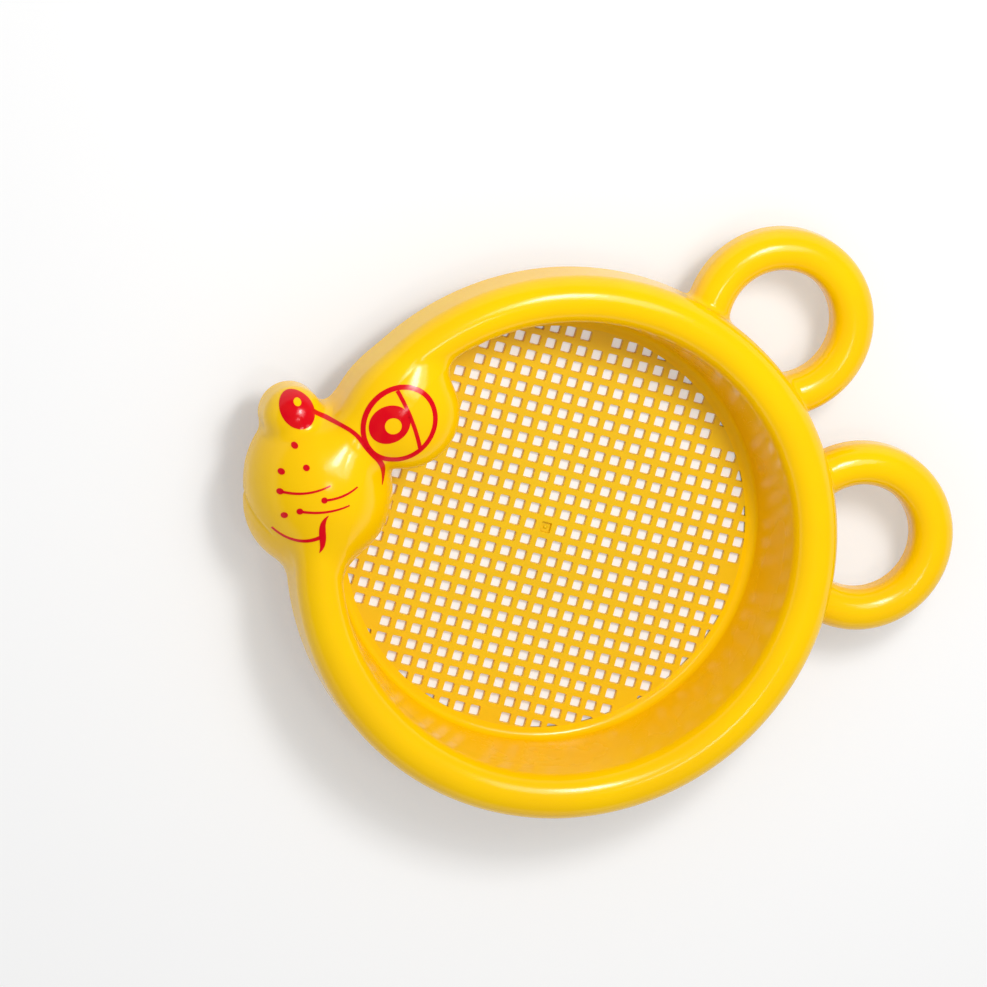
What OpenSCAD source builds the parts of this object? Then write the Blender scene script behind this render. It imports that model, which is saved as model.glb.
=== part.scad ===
// Toy sand sieve: a round bowl with a perforated floor and a half-round rim.
// The rim swells into an animal's face on one side and carries two ring handles, its ears, on the other.
// The sieve stands on its floor. The origin is the middle of the floor's underside, +Z is up.
// The face looks towards -X, and the mesh runs along X and Y.

/* [Bowl] */
// Diameter of the perforated part of the floor
mesh_d = 150; // [136:1:164]
// Plain margin between the mesh and the line where wall and floor meet
floor_margin = 4; // [3.5:0.1:8]
// Radius of the fillet between floor and wall
corner_r = 3; // [1.5:0.1:3.4]
// Height from the top of the floor to the rim's widest level
wall_h = 34.3; // [30:0.1:42]
// Lean of the wall, in degrees from upright
wall_draft = 7.5; // [3:0.5:12]
// Width of the half-round rim
rim_w = 17; // [14:0.5:20]
// Drop of the rim's outer skirt below the widest level
skirt_h = 16.5; // [14:0.5:20]
// Drop of the rim's inner edge below that level, where the wall begins
rim_flank_h = 6; // [3:0.5:9]
// Thickness of the moulded walls and of the floor
wall_t = 2; // [1.4:0.1:2.6]

/* [Mesh] */
// Pitch of the square holes
mesh_pitch = 6; // [5:0.25:9]
// Width of a square hole
mesh_hole = 3.65; // [2.5:0.05:4.4]
// Thickness of the thin web that closes the middle hole, where the plastic flowed in
gate_web_t = 0.8; // [0.5:0.1:1.2]
// Diameter of the nub on that web
gate_nub_d = 1.6; // [1:0.1:2.4]

/* [Ears] */
// Diameter over an ear ring
ear_d = 69.6; // [60:0.5:80]
// Width of the half-round ear ring
ear_w = 15.3; // [12:0.1:18]
// Height of the straight flanks below the ear's half-round top
ear_flank_h = 5.4; // [3:0.1:7]
// Distance of the ear ring's middle outside the rim
ear_out = 11.9; // [6:0.1:16]
// Direction halfway between the ears, in degrees
ears_angle = 37.5; // [20:0.5:60]
// Angle between the two ears
ears_apart = 45.3; // [44:0.1:60]

/* [Muzzle] */
// Direction of the muzzle, and with it of the whole face, from the sieve's axis
muzzle_angle = 182.6; // [170:0.2:200]
// Radius of the muzzle's ball
muzzle_r = 26; // [24:0.5:29]
// Height of the ball's middle above the floor
muzzle_z = 21.5; // [19:0.1:26]
// Radius of the bridge, the smaller ball between muzzle and nose
bridge_r = 22; // [19:0.5:25]
// Place of the bridge across the rim from the muzzle, inwards
bridge_x = -4.7; // [-9:0.1:0]
// Place of the bridge along the rim from the muzzle
bridge_y = 9.8; // [6:0.1:13]
// Height of the bridge's middle above the floor
bridge_z = 23.5; // [20:0.1:27]
// Radius of the chin, the ball that stands out below the muzzle
chin_r = 26.9; // [25:0.1:29]
// Place of the chin across the rim from the muzzle, inwards
chin_x = -1; // [-4:0.1:0]
// Place of the chin along the rim from the muzzle
chin_y = -2.3; // [-5:0.1:0]

/* [Nose] */
// Radius of the nose
nose_r = 11; // [9:0.5:13]
// Place of the nose across the rim from the muzzle, inwards
nose_x = -17.4; // [-20:0.1:-14]
// Place of the nose along the rim from the muzzle
nose_y = 26.3; // [23:0.1:29]
// Height of the nose's middle above the floor
nose_z = 27; // [23:0.1:30]

/* [Eye] */
// Radius of the bulge that carries the eye
eye_r = 19.5; // [18:0.5:22]
// Place of the eye bulge across the rim from the muzzle, inwards
eye_x = 21.5; // [18:0.1:25]
// Place of the eye bulge along the rim from the muzzle
eye_y = 34.7; // [32:0.1:37]
// Height of the bulge's middle above the floor
eye_z = 25.5; // [22:0.1:28]

/* [Print] */
// Thickness of the printed ink
ink_t = 0.2; // [0.1:0.05:0.4]
// Width of the eye ring and of the line over the muzzle
line_w = 1.6; // [1:0.1:2.4]
// Width of the eyelid line
lid_w = 1.3; // [0.8:0.1:2]
// Width of a whisker at its root
whisker_w = 1; // [0.6:0.1:1.6]
// Diameter of a freckle and of the dot at a whisker's root
freckle_d = 2.2; // [1.4:0.1:3]
// Width of the mouth line
mouth_w = 1.1; // [0.7:0.1:1.8]
// Greatest width of the tick at the corner of the mouth
tick_w = 2.4; // [1.4:0.1:3]

/* [Hidden] */

plastic = "gold";
ink = "crimson";
round_fn = 96;
dome_fn = 72;
dot_fn = 32;
stroke_steps = 10;
// Overrun of every cutting solid
over = 1;

// Bowl, worked out from the middle outwards
mesh_r = mesh_d / 2;
floor_r = mesh_r + floor_margin;
floor_t = wall_t;
bead_z = floor_t + wall_h;
rim_in_r = floor_r + wall_h * tan(wall_draft);
rim_mid_r = rim_in_r + rim_w / 2;
rim_r = rim_in_r + rim_w;
skirt_z = bead_z - skirt_h;
rim_flank_z = bead_z - rim_flank_h;
rim_flank_r = rim_in_r - rim_flank_h * tan(wall_draft);
top_z = bead_z + rim_w / 2;
// Level width of the leaning wall
wall_level_t = wall_t / cos(wall_draft);
// Centre of the fillet between floor and wall
corner_z = floor_t + corner_r;
corner_mid_r = floor_r + corner_r * tan(wall_draft) - corner_r / cos(wall_draft);
// Direction from that centre square onto the wall
wall_normal = [cos(wall_draft), -sin(wall_draft)];

// Ear rings
ear_ring_r = (ear_d - ear_w) / 2;
ear_reach = rim_r + ear_out;
ear_upper_angle = ears_angle + ears_apart / 2;
ear_lower_angle = ears_angle - ears_apart / 2;

// Places on the face, in a frame on the middle of the rim that turns with the muzzle
half_turn = 180;
quarter = 90;
function polar(r, angle) = [r * cos(angle), r * sin(angle)];
face_turn = muzzle_angle - half_turn;
muzzle_at = polar(rim_mid_r, muzzle_angle);
function on_face(x, y) = muzzle_at + polar(x, face_turn) + polar(y, face_turn + quarter);
bridge_at = on_face(bridge_x, bridge_y);
chin_at = on_face(chin_x, chin_y);
nose_at = on_face(nose_x, nose_y);
eye_at = on_face(eye_x, eye_y);
// Clear of everything the face spans
face_reach = rim_mid_r + muzzle_r + norm([nose_x, nose_y]) + nose_r;
face_top = floor_t + max(muzzle_z + muzzle_r, bridge_z + bridge_r, nose_z + nose_r, eye_z + eye_r);

// Pads left unpierced for the pins that push the moulding out: their circle and their turns in each quarter
pad_r_share = 0.963;
pad_turns = [0, 41.6];

// Printed face, in shares of the radius of the dome that carries each mark, from that dome's middle
nose_print_shares = [-0.074, 0.344];
nose_print_r_share = 0.6;
nose_dot_shares = [-0.154, 0.588];
nose_dot_r_share = 0.13;
muzzle_line_shares = [[-0.45, 1.157], [0.02, 1.15], [0.764, 0.603], [0.695, 0.377]];
eye_ring_shares = [-0.203, -0.066];
eye_ring_r_share = 0.72;
iris_shares = [-0.381, -0.113];
iris_r_share = 0.37;
glint_shares = [-0.305, -0.096];
glint_r_share = 0.165;
lid_turns = [110, -36];
freckle_shares = [[-0.681, 0.697], [-0.783, 0.313], [-0.484, 0.453], [-0.594, -0.277]];
whisker_shares = [
    [[-0.737, 0.033], [-0.46, 0], [-0.11, 0.293]],
    [[-0.151, 0.08], [0.046, 0.095], [0.27, 0.338]],
    [[-0.427, -0.166], [-0.18, -0.176], [0.227, 0.082]]
];
mouth_shares = [[-0.67, -0.508], [-0.351, -0.762], [-0.067, -0.477]];
tick_shares = [[-0.037, -0.133], [-0.149, -0.332], [0, -0.697]];
// A stroke's width at its ends and middle, in shares of its greatest width
whisker_taper_shares = [1, 0.8, 0.3];
mouth_taper_shares = [0.4, 1, 1];
line_taper_shares = [1, 1, 0.6];
tick_taper_shares = [0.25, 1, 0.25];
lid_taper_shares = [1, 1];

// Half-round bar seen in section, with straight flanks down to the given level
module arch_section(mid_r, w, mid_z, low_z) {
    translate([mid_r, mid_z]) circle(d = w, $fn = round_fn);
    translate([mid_r - w / 2, low_z]) square([w, mid_z - low_z]);
}

// Everything within the rim's outer skin, as one solid ring
module rim_form(grow = 0) {
    rotate_extrude($fn = round_fn) arch_section(rim_mid_r, rim_w + 2 * grow, bead_z, skirt_z);
}

// Hollow below the rim
module rim_hollow() {
    rotate_extrude($fn = round_fn) arch_section(rim_mid_r, rim_w - 2 * wall_t, bead_z, skirt_z - over);
}

// Half ball on a straight round flank
module dome(at, r, mid_z, low_z) {
    translate([at.x, at.y, floor_t + mid_z]) sphere(r, $fn = dome_fn);
    translate([at.x, at.y, low_z]) cylinder(r = r, h = floor_t + mid_z - low_z, $fn = dome_fn);
}

module muzzle_form(grow = 0, low_z = 0) {
    dome(muzzle_at, muzzle_r + grow, muzzle_z, low_z);
    dome(bridge_at, bridge_r + grow, bridge_z, low_z);
    dome(chin_at, chin_r + grow, skirt_z - floor_t, low_z);
}

module nose_form(grow = 0, low_z = 0) {
    dome(nose_at, nose_r + grow, nose_z, low_z);
}

module eye_form(grow = 0, low_z = 0) {
    dome(eye_at, eye_r + grow, eye_z, low_z);
}

// Open hollow below the whole face and the rim
module face_hollow() {
    muzzle_form(-wall_t, -over);
    nose_form(-wall_t, -over);
    eye_form(-wall_t, -over);
    rim_hollow();
}

// Everything within the bowl's outer skin, with its rounded lower corner, up to the rim's widest level
module bowl_form() {
    corner = [corner_mid_r, corner_z];
    rotate_extrude($fn = round_fn) {
        square([corner_mid_r, bead_z]);
        translate(corner) circle(corner_r + wall_t, $fn = round_fn);
        polygon([
            [0, corner_z],
            corner,
            corner + (corner_r + wall_t) * wall_normal,
            [rim_in_r + wall_level_t, bead_z],
            [0, bead_z]
        ]);
    }
}

// Where the face has walls: above the skirt's edge, and down to the base within the bowl
module face_zone() {
    translate([0, 0, skirt_z]) cylinder(r = face_reach, h = face_top - skirt_z + over, $fn = round_fn);
    bowl_form();
}

// The face's own forms, to cut room for it from rim, wall, floor and mesh
module face_room() {
    muzzle_form(0, -over);
    eye_form(0, -over);
}

module rim() {
    color(plastic) difference() {
        rotate_extrude($fn = round_fn) translate([rim_mid_r, bead_z]) difference() {
            union() {
                circle(d = rim_w, $fn = round_fn);
                translate([0, -skirt_h]) square([rim_w / 2, skirt_h]);
                translate([-rim_mid_r, -bead_z]) polygon([
                    [rim_flank_r, rim_flank_z],
                    [rim_mid_r, rim_flank_z],
                    [rim_mid_r, bead_z],
                    [rim_in_r, bead_z]
                ]);
            }
            circle(d = rim_w - 2 * wall_t, $fn = round_fn);
            translate([-rim_mid_r, -bead_z]) polygon([
                [rim_flank_r + wall_level_t - over * tan(wall_draft), rim_flank_z - over],
                [rim_in_r + wall_level_t, bead_z],
                [rim_r - wall_t, bead_z],
                [rim_r - wall_t, skirt_z - over],
                [rim_flank_r, skirt_z - over],
                [rim_flank_r, rim_flank_z - over]
            ]);
        }
        face_room();
        nose_form(0, -over);
    }
}

module side_wall() {
    color(plastic) difference() {
        rotate_extrude($fn = round_fn) polygon([
            [corner_mid_r, corner_z] + corner_r * wall_normal,
            [corner_mid_r, corner_z] + (corner_r + wall_t) * wall_normal,
            [rim_flank_r + wall_level_t, rim_flank_z],
            [rim_flank_r, rim_flank_z]
        ]);
        face_room();
    }
}

// Plain margin of the floor with the rounded corner that leads up to the wall
module floor_ring() {
    flat_w = corner_mid_r - mesh_r;
    far = corner_r + wall_t + over;
    color(plastic) difference() {
        rotate_extrude($fn = round_fn) translate([corner_mid_r, corner_z]) difference() {
            intersection() {
                union() {
                    circle(corner_r + wall_t, $fn = round_fn);
                    translate([-flat_w, -corner_z]) square([flat_w, corner_z]);
                }
                polygon([[0, 0], [-flat_w, 0], [-flat_w, -far], [far, -far], far * wall_normal]);
            }
            circle(corner_r, $fn = round_fn);
            translate([-flat_w - over, -corner_r]) square([flat_w + over, corner_r + over]);
        }
        face_room();
    }
}

// True where a cell of the mesh is one of the unpierced pads
function is_pad(at) = len([
    for (k = [0:3], turn = pad_turns)
    let (pad = polar(pad_r_share * mesh_r, k * quarter + turn), off = at - pad)
    if (max(abs(off.x), abs(off.y)) < mesh_pitch / 2) k
]) > 0;

module sieve_mesh() {
    cells = floor(mesh_r / mesh_pitch);
    color(plastic) difference() {
        union() {
            linear_extrude(floor_t) difference() {
                circle(mesh_r, $fn = round_fn);
                for (i = [-cells:cells], j = [-cells:cells]) {
                    at = mesh_pitch * [i, j];
                    if (norm(at) < mesh_r && !is_pad(at)) translate(at) square(mesh_hole, center = true);
                }
            }
            linear_extrude(gate_web_t) square(mesh_hole, center = true);
            cylinder(d = gate_nub_d, h = (gate_web_t + floor_t) / 2, $fn = dot_fn);
        }
        face_room();
    }
}

module ear(angle) {
    mid_z = skirt_z + ear_flank_h;
    color(plastic) difference() {
        translate(polar(ear_reach, angle)) rotate_extrude($fn = round_fn) difference() {
            arch_section(ear_ring_r, ear_w, mid_z, skirt_z);
            arch_section(ear_ring_r, ear_w - 2 * wall_t, mid_z, skirt_z - over);
            translate([ear_ring_r - ear_w, skirt_z - ear_w]) square([2 * ear_w, ear_w]);
        }
        translate([0, 0, skirt_z - over]) cylinder(r = rim_r, h = top_z, $fn = round_fn);
    }
}

module ear_upper() {
    ear(ear_upper_angle);
}

module ear_lower() {
    ear(ear_lower_angle);
}

module muzzle() {
    color(plastic) intersection() {
        difference() {
            muzzle_form();
            face_hollow();
        }
        face_zone();
    }
}

module eye_bulge() {
    color(plastic) intersection() {
        difference() {
            eye_form();
            muzzle_form(0, -over);
            face_hollow();
        }
        face_zone();
    }
}

module nose() {
    color(plastic) intersection() {
        difference() {
            nose_form();
            muzzle_form(0, -over);
            face_hollow();
        }
        face_zone();
    }
}

// Point of a smooth curve through the first and last of the given handles
function curve_at(handles, t) = len(handles) == 1
    ? handles[0]
    : curve_at([for (i = [0:len(handles) - 2]) handles[i] * (1 - t) + handles[i + 1] * t], t);

// Outline of a brush stroke along such a curve, as wide as the taper says
module stroke(handles, w, taper_shares) {
    step = 1 / stroke_steps;
    path = [for (i = [0:stroke_steps]) curve_at(handles, i * step)];
    halves = [for (i = [0:stroke_steps]) w / 2 * curve_at(taper_shares, i * step)];
    sides = [
        for (i = [0:stroke_steps])
        let (along = path[min(i + 1, stroke_steps)] - path[max(i - 1, 0)])
        [-along.y, along.x] / norm(along)
    ];
    polygon(concat(
        [for (i = [0:stroke_steps]) path[i] + halves[i] * sides[i]],
        [for (i = [stroke_steps:-1:0]) path[i] - halves[i] * sides[i]]
    ));
}

// Tall prism over an outline, to press a print down on the face
module press() {
    translate([0, 0, skirt_z]) linear_extrude(face_top - skirt_z + over) children();
}

// Ink film over the face, where the prisms given as children meet it
module print_on_face() {
    color(ink) intersection() {
        difference() {
            union() {
                muzzle_form(ink_t);
                nose_form(ink_t);
                eye_form(ink_t);
                rim_form(ink_t);
            }
            muzzle_form();
            nose_form();
            eye_form();
            rim_form();
        }
        union() {
            children();
        }
    }
}

// Outlines of the prints, each placed on the dome that carries it
module mark(at, r, shares) {
    translate(at) rotate(face_turn) translate(r * shares) children();
}

module nose_outline() {
    mark(nose_at, nose_r, nose_print_shares) circle(nose_r * nose_print_r_share, $fn = round_fn);
}

module muzzle_line_outline() {
    mark(muzzle_at, muzzle_r, [0, 0]) stroke(muzzle_r * muzzle_line_shares, line_w, line_taper_shares);
}

module eyelid_outline() {
    ring_r = eye_r * eye_ring_r_share;
    mark(eye_at, eye_r, eye_ring_shares) intersection() {
        circle(ring_r - line_w / 2, $fn = round_fn);
        stroke([polar(ring_r, lid_turns[0]), polar(ring_r, lid_turns[1])], lid_w, lid_taper_shares);
    }
}

module nose_print() {
    print_on_face() press() difference() {
        nose_outline();
        mark(nose_at, nose_r, nose_dot_shares) circle(nose_r * nose_dot_r_share, $fn = dot_fn);
    }
}

module muzzle_line_print() {
    print_on_face() press() difference() {
        muzzle_line_outline();
        nose_outline();
    }
}

module eye_ring_print() {
    print_on_face() press() difference() {
        mark(eye_at, eye_r, eye_ring_shares) circle(eye_r * eye_ring_r_share + line_w / 2, $fn = round_fn);
        mark(eye_at, eye_r, eye_ring_shares) circle(eye_r * eye_ring_r_share - line_w / 2, $fn = round_fn);
        muzzle_line_outline();
    }
}

module eyelid_print() {
    print_on_face() press() eyelid_outline();
}

module iris_print() {
    print_on_face() press() difference() {
        mark(eye_at, eye_r, iris_shares) circle(eye_r * iris_r_share, $fn = round_fn);
        mark(eye_at, eye_r, glint_shares) circle(eye_r * glint_r_share, $fn = dot_fn);
        eyelid_outline();
    }
}

module freckle_prints() {
    print_on_face() for (shares = freckle_shares) {
        press() mark(muzzle_at, muzzle_r, shares) circle(d = freckle_d, $fn = dot_fn);
    }
}

module whisker_prints() {
    print_on_face() for (handles = whisker_shares) {
        press() mark(muzzle_at, muzzle_r, [0, 0]) stroke(muzzle_r * handles, whisker_w, whisker_taper_shares);
        press() mark(muzzle_at, muzzle_r, handles[0]) circle(d = freckle_d, $fn = dot_fn);
    }
}

module mouth_print() {
    print_on_face() press() mark(muzzle_at, muzzle_r, [0, 0]) {
        stroke(muzzle_r * mouth_shares, mouth_w, mouth_taper_shares);
        stroke(muzzle_r * tick_shares, tick_w, tick_taper_shares);
    }
}

rim();
side_wall();
floor_ring();
sieve_mesh();
ear_upper();
ear_lower();
muzzle();
nose();
eye_bulge();
nose_print();
muzzle_line_print();
eye_ring_print();
eyelid_print();
iris_print();
freckle_prints();
whisker_prints();
mouth_print();
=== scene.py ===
"""Looks of a toy sand sieve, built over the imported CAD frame.

The yellow moulding is one smooth hollow shell. Its sections are worked out from the rim's arch, the leaning
wall and four soft domes, and swept round the bowl, so rim, wall and face flow into each other. The nose is a
knob of its own, which grows out of the muzzle with a fillet. Geometry Nodes pierce the floor and press the
red print on the face.
"""
import logging
import math
from dataclasses import dataclass, field
from enum import Enum
from typing import Any, Callable, Sequence, Union

import bpy
import numpy as np
from mathutils import Matrix, Vector


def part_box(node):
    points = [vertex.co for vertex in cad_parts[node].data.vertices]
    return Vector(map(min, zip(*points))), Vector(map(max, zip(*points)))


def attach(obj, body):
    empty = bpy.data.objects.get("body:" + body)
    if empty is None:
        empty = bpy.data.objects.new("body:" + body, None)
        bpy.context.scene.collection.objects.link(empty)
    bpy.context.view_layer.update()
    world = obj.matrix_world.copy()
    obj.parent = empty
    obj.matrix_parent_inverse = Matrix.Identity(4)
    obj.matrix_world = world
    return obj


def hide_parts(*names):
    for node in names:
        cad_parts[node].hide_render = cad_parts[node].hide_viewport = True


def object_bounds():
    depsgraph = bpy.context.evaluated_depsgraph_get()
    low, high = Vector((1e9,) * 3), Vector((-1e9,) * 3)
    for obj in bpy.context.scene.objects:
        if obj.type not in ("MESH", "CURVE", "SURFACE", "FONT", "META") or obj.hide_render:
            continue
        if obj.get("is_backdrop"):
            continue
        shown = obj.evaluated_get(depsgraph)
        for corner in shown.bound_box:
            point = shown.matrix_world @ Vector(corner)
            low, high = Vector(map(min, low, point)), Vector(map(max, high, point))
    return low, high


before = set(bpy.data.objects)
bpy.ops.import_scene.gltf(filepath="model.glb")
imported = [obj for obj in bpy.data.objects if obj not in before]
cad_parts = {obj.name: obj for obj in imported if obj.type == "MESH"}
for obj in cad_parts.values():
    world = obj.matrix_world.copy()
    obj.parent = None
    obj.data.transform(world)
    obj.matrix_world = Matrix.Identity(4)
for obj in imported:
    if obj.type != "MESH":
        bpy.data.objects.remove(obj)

LOG = logging.getLogger("sand_sieve")
MM = 0.001
BODY = "root"
FULL_TURN = 2 * math.pi
LIP_POINTS = 5
TINY = 1e-12
Array = np.ndarray
Patch = tuple[Array, Array]
Colour = tuple[float, float, float, float]


class Slot(Enum):
    """Material slots of the record."""

    PLASTIC = "yellow_plastic"
    INK = "red_ink"


class EarPlace(Enum):
    """The two ears, with the directions round the bowl, in degrees, in which they stand."""

    UPPER = 60.15
    LOWER = 14.85


class Texture(Enum):
    """What a plastic surface was moulded against, with the roughness that it leaves."""

    POLISHED = 0.13
    DRAWN = 0.24
    GROUND = 0.3


def unit(vectors: Array) -> Array:
    """Vectors scaled to length one along the last axis."""
    return vectors / np.maximum(np.linalg.norm(vectors, axis=-1, keepdims=True), TINY)


def polar(r: Union[float, Array], turn: Union[float, Array]) -> Array:
    """Plan points at radius r and turn in radians."""
    return np.stack(np.broadcast_arrays(r * np.cos(turn), r * np.sin(turn)), axis=-1)


def lift(plan: Array, z: Union[float, Array]) -> Array:
    """Plan points raised to heights."""
    return np.concatenate([plan, np.broadcast_to(z, plan.shape[:-1])[..., None]], axis=-1)


def around(turns: Array, r: Array, z: Union[float, Array]) -> Array:
    """Points in space at turns, radii and heights."""
    return lift(polar(r, turns), z)


def bisect(depth: Callable[[Array], Array], low: Array, high: Array, rounds: int = 40) -> Array:
    """Find where a depth changes sign between two values.

    Args:
        depth: function of an array, with opposite signs at low and high.
        low: values on the inner side, where the depth is below zero.
        high: values on the outer side.
        rounds: number of halvings.

    Returns:
        The values at which the depth is zero.
    """
    low, high = low.copy(), high.copy()
    for _ in range(rounds):
        middle = (low + high) / 2
        inside = depth(middle) < 0
        low, high = np.where(inside, middle, low), np.where(inside, high, middle)
    return (low + high) / 2


class Link:
    """A node's output socket that takes part in Python expressions."""

    def __init__(self, graph: "Graph", socket: bpy.types.NodeSocket) -> None:
        """Wrap a socket of a graph."""
        self.graph = graph
        self.socket = socket

    def maths(self, operation: str, *others: Any) -> "Link":
        """Add a Math node over this value and others."""
        return self.graph.node("ShaderNodeMath", {"operation": operation}, (self, *others))

    def __add__(self, other: Any) -> "Link":
        """Sum."""
        return self.maths("ADD", other)

    def __radd__(self, other: Any) -> "Link":
        """Sum with a number in front."""
        return self.maths("ADD", other)

    def __sub__(self, other: Any) -> "Link":
        """Difference."""
        return self.maths("SUBTRACT", other)

    def __rsub__(self, other: Any) -> "Link":
        """Difference from a number in front."""
        return self.graph.node("ShaderNodeMath", {"operation": "SUBTRACT"}, (other, self))

    def __mul__(self, other: Any) -> "Link":
        """Product."""
        return self.maths("MULTIPLY", other)

    def __rmul__(self, other: Any) -> "Link":
        """Product with a number in front."""
        return self.maths("MULTIPLY", other)

    def between(self, low: float, high: float) -> "Link":
        """Share of the way from low to high, smooth and held to 0 and 1."""
        return self.graph.node("ShaderNodeMapRange", {"interpolation_type": "SMOOTHSTEP"}, {
            "Value": self, "From Min": low, "From Max": high,
        })

    def beside(self, name: str) -> "Link":
        """Another output of the same node."""
        return Link(self.graph, self.socket.node.outputs[name])


class Graph:
    """Adds nodes to a node tree, with their settings and their links."""

    def __init__(self, tree: bpy.types.NodeTree) -> None:
        """Take a tree to add nodes to."""
        self.tree = tree

    def node(
            self, kind: str, settings: dict[str, Any] | None = None, sockets: Any = (), out: Any = 0) -> Link:
        """Add one node.

        Args:
            kind: the node's type.
            settings: properties that are set before the sockets.
            sockets: values or links, by position or by name.
            out: name or position of the output that is returned.

        Returns:
            The chosen output, or the first input where the node has no outputs.
        """
        made = self.tree.nodes.new(kind)
        for name, value in (settings or {}).items():
            setattr(made, name, value)
        pairs = sockets.items() if isinstance(sockets, dict) else enumerate(sockets)
        for key, value in pairs:
            self.feed(made.inputs[key], value)
        return Link(self, made.outputs[out] if len(made.outputs) else made.inputs[0])

    def feed(self, socket: bpy.types.NodeSocket, value: Any) -> None:
        """Link a value to a socket, or set it there."""
        if isinstance(value, Link):
            self.tree.links.new(value.socket, socket)
        elif isinstance(value, list):
            for each in value:
                self.feed(socket, each)
        else:
            socket.default_value = value

    def vector(self, operation: str, *values: Any, out: Any = 0) -> Link:
        """Add a Vector Math node."""
        return self.node("ShaderNodeVectorMath", {"operation": operation}, values, out)

    def mix(self, share: Any, first: Any, second: Any) -> Link:
        """Mix two colours, by the positions of the Mix node's colour sockets."""
        return self.node("ShaderNodeMix", {"data_type": "RGBA"}, {0: share, 6: first, 7: second}, out=2)


def empty_graph(owner: bpy.types.ID) -> Graph:
    """Clear the node tree of a material or a world, to be filled anew."""
    owner.use_nodes = True
    owner.node_tree.nodes.clear()
    return Graph(owner.node_tree)


def colour(red: float, green: float, blue: float) -> Colour:
    """Linear colour from the values of a screen, 0 to 255."""
    def linear(value: float) -> float:
        """Linear light of one channel."""
        share = value / 255
        return share / 12.92 if share <= 0.04045 else ((share + 0.055) / 1.055) ** 2.4
    return linear(red), linear(green), linear(blue), 1.0


@dataclass(frozen=True)
class Cloud:
    """A cloudy pattern with features of about 1/scale metres, which fades in between two levels."""

    scale: float
    detail: float
    low: float = 0.0
    high: float = 1.0
    stretch: tuple[float, float, float] = (1, 1, 1)

    def noise(self, graph: Graph) -> Link:
        """The bare pattern."""
        place = graph.node("ShaderNodeTexCoord", out="Object")
        at = graph.node("ShaderNodeMapping", None, {"Vector": place, "Scale": self.stretch})
        return graph.node("ShaderNodeTexNoise", None, {
            "Vector": at, "Scale": self.scale, "Detail": self.detail,
        })

    def patches(self, graph: Graph) -> Link:
        """The pattern faded in from 0 to 1 between its levels."""
        return self.noise(graph).between(self.low, self.high)


@dataclass(frozen=True)
class Finish:
    """A glossy finish that drifts between two tones."""

    name: str
    base: Colour
    deep: Colour
    ior: float = 1.46
    shine: float = 0.35
    bump: float = 0.05
    bump_h: float = 0.4 * MM

    def material(self) -> bpy.types.Material:
        """Build the material.

        Returns:
            A material with one surface, whose varying values come from the kind of finish.
        """
        made = bpy.data.materials.new(self.name)
        graph = empty_graph(made)
        share, roughness, height = self.patterns(graph)
        relief = {"Strength": self.bump, "Distance": self.bump_h, "Height": height}
        surface = graph.node("ShaderNodeBsdfPrincipled", None, {
            "Base Color": graph.mix(share, self.base, self.deep), "Roughness": roughness,
            "Normal": graph.node("ShaderNodeBump", None, relief),
            "IOR": self.ior, "Specular IOR Level": self.shine,
        })
        graph.node("ShaderNodeOutputMaterial", None, {"Surface": surface})
        return made

    def patterns(self, graph: Graph) -> tuple[Link, Link, Link]:
        """Share of the second tone, roughness and height of the relief."""
        raise NotImplementedError


@dataclass(frozen=True)
class PlasticFinish(Finish):
    """Glossy solid-coloured plastic as it leaves the mould, with hairline scuffs and faint orange peel."""

    base: Colour = colour(249, 200, 0)
    deep: Colour = colour(245, 190, 0)
    texture: Texture = Texture.POLISHED
    flow: Cloud = Cloud(28, 3, 0.3, 0.7)
    flow_tone: float = 0.6
    flow_rough: float = 0.05
    specks: Cloud = Cloud(1400, 2, 0.62, 0.75)
    speck_tone: float = 0.2
    scuffs: Cloud = Cloud(260, 4, 0.6, 0.78, (1, 14, 6))
    worn: Cloud = Cloud(40, 2, 0.45, 0.65)
    scuff_rough: float = 0.16
    scuff_depth: float = 0.15
    peel: Cloud = Cloud(420, 2)
    grain: Cloud = Cloud(2600, 1)
    grain_share: float = 0.3

    def patterns(self, graph: Graph) -> tuple[Link, Link, Link]:
        """Tone that drifts as the plastic flowed, with scuffs where it is handled."""
        flow = self.flow.patches(graph)
        scuffs = self.scuffs.patches(graph) * self.worn.patches(graph)
        peel = self.peel.noise(graph)
        grain = self.grain.noise(graph) if self.texture is Texture.GROUND else peel
        share = flow * self.flow_tone + self.specks.patches(graph) * self.speck_tone
        roughness = self.texture.value + self.flow_rough * flow + self.scuff_rough * scuffs
        height = peel * (1 - self.grain_share) + grain * self.grain_share - scuffs * self.scuff_depth
        return share, roughness, height


@dataclass(frozen=True)
class InkFinish(Finish):
    """Pad-printed ink: a satin red with faint pinholes, thinner in patches where the pad lifted."""

    name: str = "red_pad_print"
    base: Colour = colour(214, 0, 22)
    deep: Colour = colour(220, 22, 18)
    bump: float = 0.08
    bump_h: float = 0.2 * MM
    roughness: float = 0.14
    thin_rough: float = 0.1
    lifted: Cloud = Cloud(190, 3, 0.35, 0.75)
    pinholes: Cloud = Cloud(2100, 1, 0.68, 0.8)
    hole_share: float = 0.5

    def patterns(self, graph: Graph) -> tuple[Link, Link, Link]:
        """Tone and roughness that follow the thickness of the ink."""
        lifted, pinholes = self.lifted.patches(graph), self.pinholes.patches(graph)
        thin = lifted * (1 - self.hole_share) + pinholes * self.hole_share
        return thin, self.roughness + self.thin_rough * thin, self.pinholes.noise(graph)


def mesh_object(name: str, points: Array, faces: Sequence[Sequence[int]]) -> bpy.types.Object:
    """Make an object at the origin from points and faces."""
    mesh = bpy.data.meshes.new(name)
    mesh.from_pydata(points.tolist(), [], faces)
    made = bpy.data.objects.new(name, mesh)
    bpy.context.scene.collection.objects.link(made)
    return made


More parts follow.
